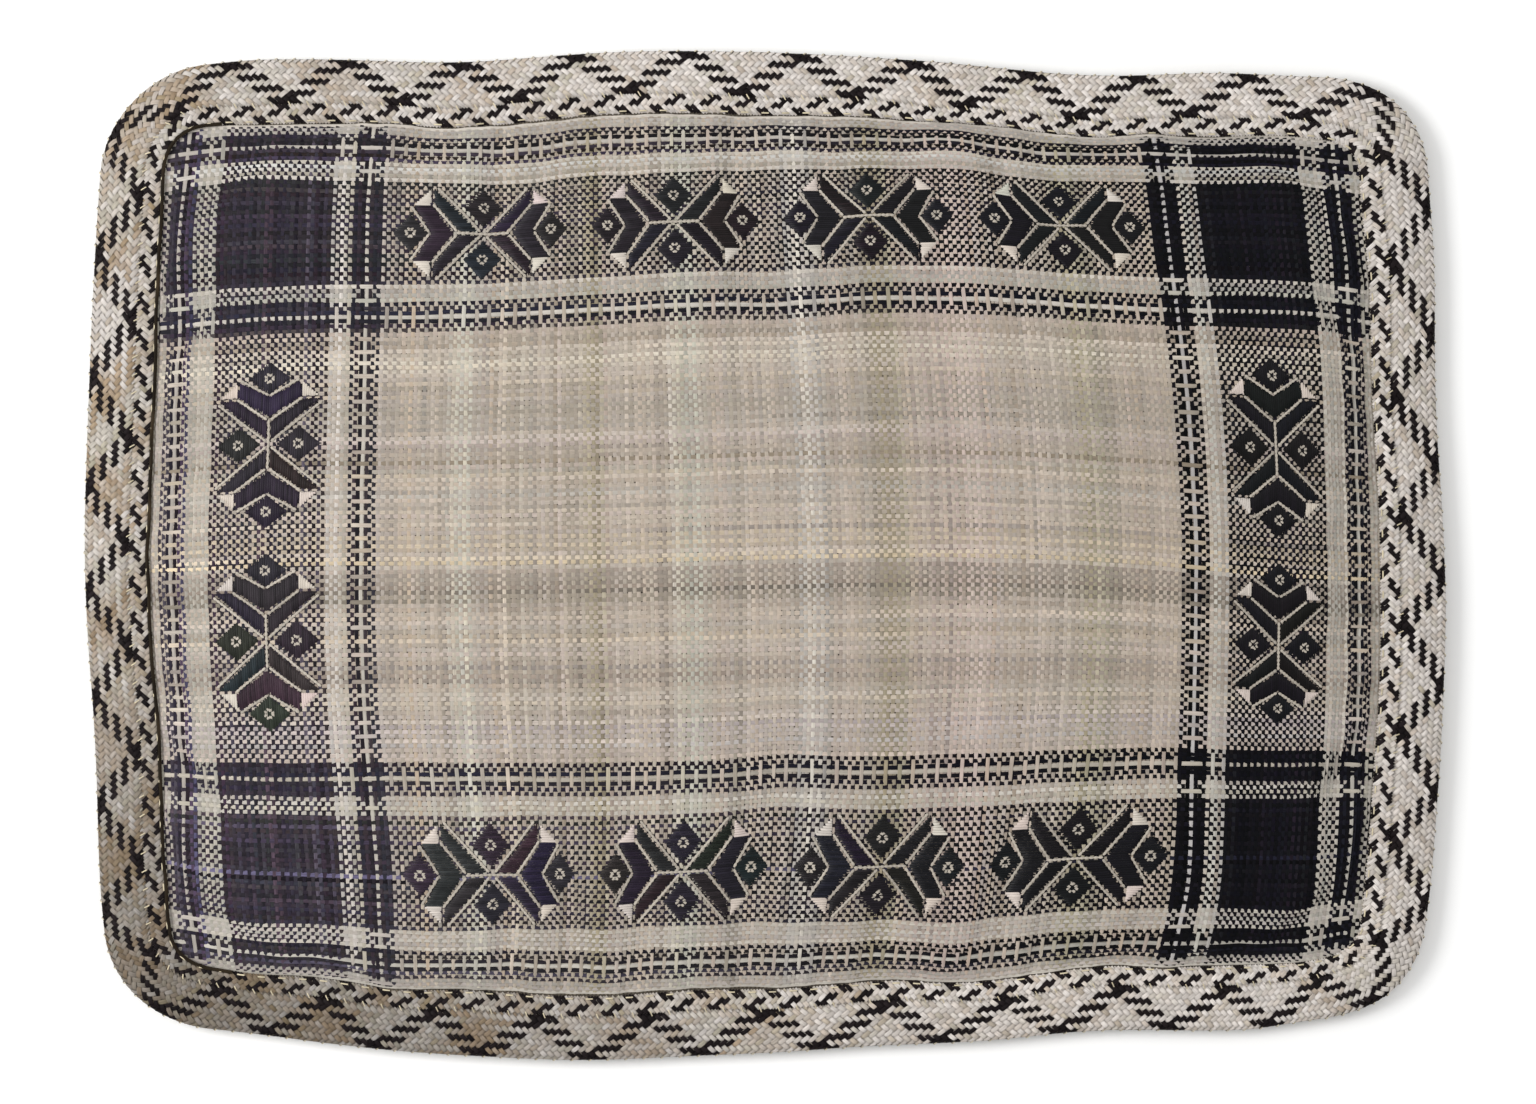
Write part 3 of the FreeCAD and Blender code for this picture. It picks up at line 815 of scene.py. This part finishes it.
def diamond(u, v, half_u, half_v):
    return [(u + half_u, v), (u, v + half_v), (u - half_u, v), (u, v - half_v)]


def scaled(points, half):
    return [(u * half[0], v * half[1]) for u, v in points]


def row_spans(polygon, v):
    """Where a line at v crosses a polygon: pairs of u."""
    cuts = []
    for (u0, v0), (u1, v1) in zip(polygon, polygon[1:] + polygon[:1]):
        if (v0 > v) != (v1 > v):
            cuts.append(u0 + (v - v0) / (v1 - v0) * (u1 - u0))
    cuts.sort()
    return list(zip(cuts[::2], cuts[1::2]))


def motif_shapes(half):
    """A motif's dark shapes, pale shapes and diamond centres, in metres."""
    dark = [scaled(mirrored(LEAF, flips), half) for flips in QUARTERS]
    dark += [scaled(mirrored(CHEVRON, (flip, 1)), half) for flip in (1, -1)]
    pale = [scaled(mirrored(PALE_TIP, flips), half) for flips in QUARTERS]
    centres = []
    for u, v, half_u, half_v in (SIDE_DIAMOND, END_DIAMOND):
        for flip in (1, -1):
            shape = diamond(u * flip, v * flip, half_u, half_v)
            dark.append(scaled(shape, half))
            centres.append((u * flip * half[0], v * flip * half[1]))
    return dark, pale, centres


def motif_path(place, u, v, lift):
    """A motif's own coordinates on the cloth."""
    centre, turned = place
    if turned:
        u, v = -v, u
    return on_cloth(centre[0] + u, centre[1] + v, lift)


def add_floats(ribbons, polygon, place, colour, spread):
    """Fills a shape with inlay floats that run along the motif."""
    cast = rng.normal(1, spread / 2, 3)
    heights = [v for _, v in polygon]
    rows = np.arange(math.floor(min(heights) / FLOAT_PITCH) + 0.5, max(heights) / FLOAT_PITCH)
    for v in rows * FLOAT_PITCH:
        for low, high in row_spans(polygon, v):
            count = max(4, round((high - low) / FLOAT_STEP) + 3)
            u = np.linspace(low, high, count)
            ends = np.minimum(u - low, high - u) / FLOAT_TUCK
            lift = FLOAT_LIFT * np.clip(ends, 0, 1) - FLOAT_SINK * (ends < 0.01)
            path = motif_path(place, u, v + 0.0 * u, lift)
            tint = colour(path) * cast * rng.uniform(1 - spread, 1 + spread)
            ribbons.add(path, upward(path), FLOAT_PITCH * 0.53, FLOAT_CROWN, tint)


def add_pale_line(ribbons, start, end, half, place, thickness=1.0):
    """A dotted light outline: short pale floats end to end."""
    start = np.array(start) * half
    end = np.array(end) * half
    beads = max(2, round(np.linalg.norm(end - start) / WEFT_PITCH))
    share = np.linspace(0, 1, beads * 4 + 1)
    line = start + (end - start) * share[:, None]
    swell = np.abs(np.sin(np.pi * beads * share))
    path = motif_path(place, line[:, 0], line[:, 1], FLOAT_LIFT * (0.5 + 0.7 * swell))
    tint = LINE_GREY * rng.uniform(0.85, 1.1)
    half_width = thickness * (BEAD_HALF + BEAD_SWELL * swell)
    ribbons.add(path, upward(path), half_width, 0.0002, tint)


def star_places():
    """Every motif: name, half sizes, and its place on the cloth."""
    places = []
    for index in range(4):
        x = (index - 1.5) * ROW_STAR_SPACING
        places.append((f"star_top_{index + 1}", ROW_STAR_HALF, ((x, ROW_STAR_Y), False)))
        places.append((f"star_bottom_{index + 1}", ROW_STAR_HALF, ((x, -ROW_STAR_Y), False)))
    for index in range(2):
        y = (0.5 - index) * COLUMN_STAR_SPACING
        places.append((f"star_left_{index + 1}", COLUMN_STAR_HALF, ((-COLUMN_STAR_X, y), True)))
        places.append((f"star_right_{index + 1}", COLUMN_STAR_HALF, ((COLUMN_STAR_X, y), True)))
    return places


def dark_inlay_colour(path):
    # The dark inlay floats take the same painted light and sheen.
    return charcoal_painted_light(path, DARK_FLOAT_SHADE)


def pale_inlay_colour(path):
    return np.broadcast_to(PALE_PINK, path.shape)


def make_star(name, half, place):
    """One motif: dark leaves, chevrons and diamonds; pale tips, rings and outlines."""
    dark_shapes, pale_shapes, centres = motif_shapes(half)
    dark, pale = Ribbons(), Ribbons()
    for shape in dark_shapes:
        add_floats(dark, shape, place, dark_inlay_colour, DARK_FLOAT_SPREAD)
    for shape in pale_shapes:
        add_floats(pale, shape, place, pale_inlay_colour, PALE_FLOAT_SPREAD)
    for line in PALE_LINES:
        for flips in QUARTERS:
            start, end = mirrored(line, flips)
            add_pale_line(pale, start, end, half, place)
    add_pale_line(pale, *CENTRE_LINE, half, place)
    for u, v in centres:
        ring = np.array(diamond(u, v, RING_HALF, RING_HALF))
        for first, second in zip(ring, np.roll(ring, -1, axis=0)):
            add_pale_line(pale, first / half, second / half, half, place, RING_THICKNESS)
    finish_piece(dark.build(f"{name}_dark_floats"), INLAY_DARK, "dark_thread", f"{name}_dark")
    finish_piece(pale.build(f"{name}_pale_floats"), INLAY_PALE, "pale_thread", f"{name}_pale")


# ---------------------------------------------------------------- braids

STRAW_CREAM = srgb(202, 195, 189)
STRAW_TAN = srgb(158, 137, 112)
STRAW_OLIVE = srgb(140, 132, 92)
STRAW_BLACK = srgb(24, 19, 20)
CORNER_SHADE = 0.6
LEFT_SHADE = 0.18
SECTION_STEPS = 60


def slope_height(inset):
    """Height of the upper face near the rim: a slope that eases into the flat."""
    share = np.clip((inset - RIM_INSET) / (SLOPE_INSET - RIM_INSET), 0, 1)
    rim = SEAM_Z + RIM_HALF_HEIGHT
    return rim + (EDGE_TOP - rim) * (share + 0.12 * np.sin(math.pi * share) * share)


def wide_section():
    """The wide braid's line in section, from its inner edge down the slope and round the rim.

    Returns the length along the line, inset, height and the outward part of the normal.
    """
    inset = np.linspace(WIDE_INNER_INSET, RIM_INSET + RIM_ROLL, SECTION_STEPS)
    z = slope_height(inset)
    turn = np.linspace(math.radians(72), math.radians(-5), SECTION_STEPS // 3)
    centre_z = z[-1] - RIM_ROLL * math.sin(turn[0])
    roll_inset = RIM_INSET + RIM_ROLL - RIM_ROLL * np.cos(turn)
    roll_inset += RIM_ROLL * math.cos(turn[0]) * np.linspace(1, 0, len(turn))
    inset = np.concatenate([inset, roll_inset[1:]])
    z = np.concatenate([z, centre_z + RIM_ROLL * np.sin(turn[1:])])
    length = np.concatenate([[0], np.cumsum(np.hypot(np.diff(inset), np.diff(z)))])
    fall = np.arctan2(-np.gradient(z, length), -np.gradient(inset, length))
    return length, inset, z, np.sin(fall)


def wide_profile(t):
    """Inset, height and outward part of the normal across the wide braid, from its inner edge."""
    length, inset, z, outward_share = WIDE_SECTION
    return np.interp(t, length, inset), np.interp(t, length, z), np.interp(t, length, outward_share)


def narrow_profile(t):
    """The narrow braid lies flat, a little arched."""
    inset = SEAM_INSET - t
    z = NARROW_HIGH.z - 0.0004 * (2 * t / NARROW_WIDTH - 1) ** 2
    return inset, z, np.zeros_like(t)


WIDE_REFERENCE = 0.010
WIDE_STEP = outline_length(WIDE_REFERENCE) / (2 * WIDE_STRANDS * WIDE_REPEATS)
WIDE_SECTION = wide_section()
WIDE_WIDTH = WIDE_SECTION[0][-1]
# How far the wide braid's repeats have slid round the rim: share of the way round, slide in metres.
WIDE_SLIDE = [(0.0, -0.016), (0.12, -0.019), (0.22, -0.001), (0.45, -0.001), (0.55, 0.013), (0.64, 0.001),
              (0.78, -0.014), (0.84, -0.014), (0.9, -0.006), (1.0, -0.016)]
NARROW_REFERENCE = 0.0260
NARROW_STEP = outline_length(NARROW_REFERENCE) / (2 * NARROW_STRANDS * NARROW_REPEATS)
NARROW_WIDTH = 0.0086
NO_SLIDE = [(0.0, 0.0), (1.0, 0.0)]


def braid_point(profile, reference, s, t, sink):
    """A point of a braid, sunk below its face, and the face's normal."""
    inset, z, outward_share = profile(t)
    points, outward = edge_point(s, reference, inset, z)
    normal = outward * outward_share[..., None]
    normal[..., 2] = np.sqrt(np.maximum(0, 1 - outward_share ** 2))
    return points + normal * sink[..., None], normal


def straw_colour(path):
    """Straw: cream, with tan and olive patches that gather at the lower left."""
    x, y = path[len(path) // 2, :2]
    lower_left = np.clip(0.2 - 1.1 * x / HALF_X - 0.3 * y / HALF_Y, 0, 1)
    corner = np.clip(-x / HALF_X - y / HALF_Y - 0.9, 0, 1)
    patch = np.sin(95 * x + 1.0) * np.sin(120 * y + 2.0) + 0.6 * np.sin(210 * x) * np.sin(190 * y + 1.0)
    mean = 0.08 + (0.20 + 0.35 * patch) * lower_left + 0.10 * patch + 0.4 * corner
    tan = np.clip(rng.normal(mean, 0.20), 0, 1)
    olive = np.clip(rng.normal(0.10 * lower_left - 0.15 * patch - 0.05, 0.15), 0, 1)
    colour = STRAW_CREAM * (1 - tan) + STRAW_TAN * tan
    colour = colour * (1 - olive) + STRAW_OLIVE * olive
    shade = rng.uniform(0.84, 1.08)
    return colour * shade * (1 - CORNER_SHADE * corner) * (1 - LEFT_SHADE * lower_left)


def make_braid(names, profile, reference, step, width, slide, strands, black, repeats, rise, crown, nodes):
    """A flat plait: strands cross on a lattice, two over and two under.

    A strand runs from one edge to the other, and the slide shifts the repeats along the rim.
    """
    light, dark = Ribbons(), Ribbons()
    level = np.arange(0, 2 * strands + 1) / 2
    step_across = width / strands
    strand_spacing = 2 * step * step_across / math.hypot(step, step_across)
    weave = level % 4
    first_over = (weave >= 0.75) & (weave <= 2.25)
    second_over = (weave >= 2.75) | (weave <= 0.25)
    for heading, over in ((1, first_over), (-1, second_over)):
        shift = np.where(over, 0.0, -2 * rise)
        for index in range(strands * repeats):
            s = 2 * step * index + heading * step * level
            s = s + np.interp(np.mod(s / outline_length(reference), 1), *zip(*slide))
            t = step_across * level
            path, normal = braid_point(profile, reference, s, t, shift - crown)
            path = settle(path)
            if heading < 0:
                path, normal = path[::-1], normal[::-1]
            is_black = index % strands < black
            colour = STRAW_BLACK * rng.uniform(0.7, 1.5) if is_black else straw_colour(path)
            half_width = strand_spacing / 2 * rng.uniform(0.90, 1.0)
            (dark if is_black else light).add(path, normal, half_width, crown, colour)
    finish_piece(light.build(names[0]), STRAW, "straw_braid", *nodes)
    finish_piece(dark.build(names[1]), BLACK_STRAW, "straw_braid")


# Painted shadow: a dark brown strand laid in the crease along the left side's narrow braid.
SHADOW_STRAND_INSET = 0.0303
SHADOW_STRAND_END = 0.235
SHADOW_STRAND_STEP = 0.003
SHADOW_STRAND_WAVE = 0.0002
SHADOW_STRAND_HALF = 0.0008
SHADOW_STRAND_CROWN = 0.0004
SHADOW_STRAND_BROWN = srgb(34, 27, 18)


def make_crease_shadow_strand():
    """A dark strand along the narrow braid's inner edge on the left side: painted shadow, standing in for
    the shade of the crease there.
    """
    distance = np.arange(0, outline_length(SHADOW_STRAND_INSET), SHADOW_STRAND_STEP)
    path, _ = edge_point(distance, SHADOW_STRAND_INSET, SHADOW_STRAND_INSET, NARROW_HIGH.z)
    path = path[path[:, 0] < -SHADOW_STRAND_END]
    path[:, 0] += SHADOW_STRAND_WAVE * smooth_noise(len(path), 4)
    tint = SHADOW_STRAND_BROWN * np.exp(0.35 * smooth_noise(len(path), 3))[:, None]
    strand = Ribbons()
    strand.add(settle(path), upward(path), SHADOW_STRAND_HALF, SHADOW_STRAND_CROWN, tint)
    finish_piece(strand.build("crease_shadow_strand"), BLACK_STRAW, "straw_braid")


def make_braids():
    make_braid(("outer_braid_straw", "outer_braid_black"), wide_profile, WIDE_REFERENCE, WIDE_STEP,
               WIDE_WIDTH, WIDE_SLIDE, WIDE_STRANDS, WIDE_BLACK, WIDE_REPEATS, 0.00040, 0.00036,
               ["outer_braid"])
    make_braid(("inner_braid_straw", "inner_braid_black"), narrow_profile, NARROW_REFERENCE, NARROW_STEP,
               NARROW_WIDTH, NO_SLIDE, NARROW_STRANDS, NARROW_BLACK, NARROW_REPEATS, 0.00034, 0.00034,
               ["inner_braid"])


# ---------------------------------------------------------------- pad and backing

LOOP_POINTS = 320


def lathe(profile, inner_loops):
    """A surface of loops round the cushion: the profile's rings, then loops that shrink to a point.

    Returns points, faces and cloth coordinates. profile lists inset, height and cloth reach.
    """
    distance = np.arange(LOOP_POINTS) / LOOP_POINTS * outline_length(WIDE_REFERENCE)
    loops, marks = [], []
    for inset, z, reach in profile:
        points, outward = edge_point(distance, WIDE_REFERENCE, inset, z)
        loops.append(points)
        marks.append(points + outward * (reach - inset))
    last, last_mark = loops[-1], marks[-1]
    for scale, z in inner_loops(last):
        points = last * scale
        points[:, 2] = z
        loops.append(points)
        marks.append(last_mark * scale)
    rows = len(loops)
    index = np.arange(LOOP_POINTS)
    following = (index + 1) % LOOP_POINTS
    faces = []
    for row in range(rows - 1):
        start, upper = row * LOOP_POINTS, (row + 1) * LOOP_POINTS
        faces.append(np.stack([start + index, start + following, upper + following, upper + index], 1))
    return np.concatenate(loops), np.concatenate(faces), np.concatenate(marks)


EDGE_RINGS = 8
FLAT_LOOPS = 60
PAD_RIM_INSET = 0.0045
PAD_DEPTH = 0.0022
PAD_DROP = 0.0014


def underside_height(inset):
    """Height of the underside near the rim: a slope and then the floor."""
    share = np.clip((inset - RIM_INSET) / (SLOPE_INSET - RIM_INSET), 0, 1)
    return (SEAM_Z - RIM_HALF_HEIGHT) * (1 - share) ** 1.15


def flat_loops(z):
    def loops(last):
        return [(scale, z) for scale in np.linspace(1, 0.001, FLAT_LOOPS)[1:]]
    return loops


def crowned_loops(last):
    loops = []
    for scale in np.linspace(1, 0.001, FLAT_LOOPS)[1:]:
        points = last * scale
        loops.append((scale, crown_height(points[:, 0], points[:, 1]) - PAD_DROP))
    return loops


def make_pad():
    """The filled inner case: a closed crowned form under the cover."""
    insets = np.linspace(PAD_RIM_INSET, SLOPE_INSET + 0.002, EDGE_RINGS)
    upper = [(inset, max(SEAM_Z, slope_height(inset) - PAD_DEPTH), inset) for inset in insets]
    lower = [(inset, min(SEAM_Z, underside_height(inset) + PAD_DEPTH), inset) for inset in insets]
    rim = [(PAD_RIM_INSET, SEAM_Z, PAD_RIM_INSET)]
    top = lathe(rim + upper, crowned_loops)
    bottom = lathe(rim + lower, flat_loops(PAD_DEPTH))
    points = np.concatenate([top[0], bottom[0]])
    faces = np.concatenate([top[1], bottom[1][:, ::-1] + len(top[0])])
    marks = np.concatenate([top[2], bottom[2]])
    pad = make_mesh("inner_pad", settle(points), faces, None, marks)
    merge_close(pad)
    # The darker second colour is painted shade in the weave's gaps.
    material = weave_material("case_cotton", srgb(214, 208, 194), srgb(180, 172, 156), 0.0006, 0.85)
    finish_piece(pad, material, "case_cotton", "inner_case_top", "inner_case_bottom", "batting_top",
                 "core_pad", "batting_bottom", "case_seam_stitches")


def merge_close(piece):
    """Joins points that lie on one another, such as where two halves meet."""
    mesh = bmesh.new()
    mesh.from_mesh(piece.data)
    bmesh.ops.remove_doubles(mesh, verts=mesh.verts, dist=0.00002)
    mesh.to_mesh(piece.data)
    mesh.free()


def make_backing():
    """The underside cloth, turned up along the lower slope to the seam."""
    insets = np.linspace(RIM_INSET, SLOPE_INSET + 0.002, 2 * EDGE_RINGS)
    rings = [(RIM_INSET, SEAM_Z - 0.0002, RIM_INSET)]
    rings += [(inset, underside_height(inset), inset) for inset in insets]
    points, faces, marks = lathe(rings, flat_loops(0.0))
    backing = make_mesh("backing_cloth_sheet", settle(points), faces[:, ::-1], None, marks)
    merge_close(backing)
    # The darker second colour is painted shade in the weave's gaps.
    material = weave_material("backing_weave", srgb(178, 166, 142), srgb(104, 92, 72), 0.0016, 0.8)
    finish_piece(backing, material, "backing_cloth", "backing_cloth")


# ---------------------------------------------------------------- stitches

THREAD_COLOUR = srgb(196, 184, 156)
PANEL_STITCH_INSET = 0.0296
PANEL_STITCH_HALF = 0.0016
STITCH_ARCH = 0.0003
JOIN_STITCH_INSET = 0.0215
JOIN_STITCH_START = 0.0226
JOIN_STITCH_REACH = 0.0024
RIM_STITCH_RISE = 0.0017


def make_stitches(name, pitch, reference, shape, width, node):
    """A row of stitches; shape gives each stitch's path from its distance along the seam."""
    ribbons = Ribbons()
    count = round(outline_length(reference) / pitch)
    for distance in (np.arange(count) + 0.5) * outline_length(reference) / count:
        path, normal = shape(distance)
        ribbons.add(settle(path), normal, width, width * 0.7, THREAD_COLOUR * rng.uniform(0.85, 1.1))
    finish_piece(ribbons.build(name), STRAW, "sewing_thread", node)


def panel_stitch(distance):
    """A running stitch along the narrow braid's inner edge."""
    s = distance + np.linspace(-PANEL_STITCH_HALF, PANEL_STITCH_HALF, 6)
    arch = np.sin(np.linspace(0, math.pi, 6))
    z = NARROW_HIGH.z + STITCH_ARCH * arch - STITCH_ARCH
    points, _ = edge_point(s, PANEL_STITCH_INSET, PANEL_STITCH_INSET, z)
    return points, upward(points)


def join_stitch(distance):
    """A ladder stitch across the gap between the two braids."""
    share = np.linspace(0, 1, 6)
    s = distance + 0.0012 * share
    inset = JOIN_STITCH_START - JOIN_STITCH_REACH * share
    z = NARROW_HIGH.z + 0.0002 - 0.0007 * share + STITCH_ARCH * np.sin(math.pi * share)
    points, _ = edge_point(s, JOIN_STITCH_INSET, inset, z)
    return points, upward(points)


def rim_stitch(distance):
    """A whip stitch over the rim seam, from the backing cloth up to the wide braid."""
    share = np.linspace(-1, 1, 7)
    s = distance + 0.0008 * share
    inset = RIM_INSET - 0.0004 + 0.0010 * share ** 2
    points, outward = edge_point(s, RIM_INSET, inset, SEAM_Z + RIM_STITCH_RISE * share)
    return points, outward


def make_all_stitches():
    seams = (
        ("panel_seam", 0.009, PANEL_STITCH_INSET, panel_stitch, 0.00030),
        ("braid_join", 0.008, JOIN_STITCH_INSET, join_stitch, 0.00024),
        ("rim_whip", 0.008, RIM_INSET, rim_stitch, 0.00032),
    )
    for name, pitch, reference, shape, width in seams:
        make_stitches(f"{name}_thread", pitch, reference, shape, width, f"{name}_stitches")


# ---------------------------------------------------------------- stage, light and camera

VIEW_WIDTH = 0.6737
CAMERA_HEIGHT = 2.4
VIEW_PLANE_Z = 0.020
SENSOR = 0.036
VIEW_CENTRE = (0.0009, 0.0009)
FLOOR_HALF = 4.0
FLOOR_DROP = 0.0002
SKY_STRENGTH = 0.72


def make_stage():
    mesh = bpy.data.meshes.new("floor")
    corners = [(x * FLOOR_HALF, y * FLOOR_HALF, 0) for x, y in ((-1, -1), (1, -1), (1, 1), (-1, 1))]
    mesh.from_pydata(corners, [], [(0, 1, 2, 3)])
    floor = bpy.data.objects.new("floor", mesh)
    floor.location.z = -FLOOR_DROP
    bpy.context.scene.collection.objects.link(floor)
    material, _, _, shader = node_tree("pale_floor")
    set_values(shader, {"Base Color": (0.90, 0.90, 0.895, 1), "Roughness": 0.9})
    mesh.materials.append(material)


def add_area_light(name, place, size, power):
    data = bpy.data.lights.new(name, "AREA")
    data.shape = "DISK"
    data.size = size
    data.energy = power
    light = bpy.data.objects.new(name, data)
    light.location = place
    light.rotation_euler = aim_at_origin(place)
    bpy.context.scene.collection.objects.link(light)


def aim_at_origin(place):
    """The rotation that points a light from place at the cushion."""
    return (-Vector(place)).to_track_quat("-Z", "Y").to_euler()


def make_lights():
    world = bpy.data.worlds.new("studio")
    world.use_nodes = True
    background = world.node_tree.nodes["Background"]
    set_values(background, {"Color": (1.0, 1.0, 1.0, 1), "Strength": SKY_STRENGTH})
    bpy.context.scene.world = world
    add_area_light("key", (-1.5, 0.2, 1.4), 1.0, 30)
    add_area_light("fill", (0.8, 0.9, 2.2), 1.6, 10)
    bpy.context.scene.view_settings.view_transform = "Standard"


def make_camera():
    data = bpy.data.cameras.new("camera")
    data.sensor_width = SENSOR * 1000
    data.lens = SENSOR * 1000 * (CAMERA_HEIGHT - VIEW_PLANE_Z) / VIEW_WIDTH
    camera = bpy.data.objects.new("camera", data)
    camera.location = (*VIEW_CENTRE, CAMERA_HEIGHT)
    bpy.context.scene.collection.objects.link(camera)
    bpy.context.scene.camera = camera


make_woven_panel()
make_gap_shade_sheet()
for star in star_places():
    make_star(*star)
make_braids()
make_crease_shadow_strand()
make_pad()
make_backing()
make_all_stitches()
make_stage()
make_lights()
make_camera()
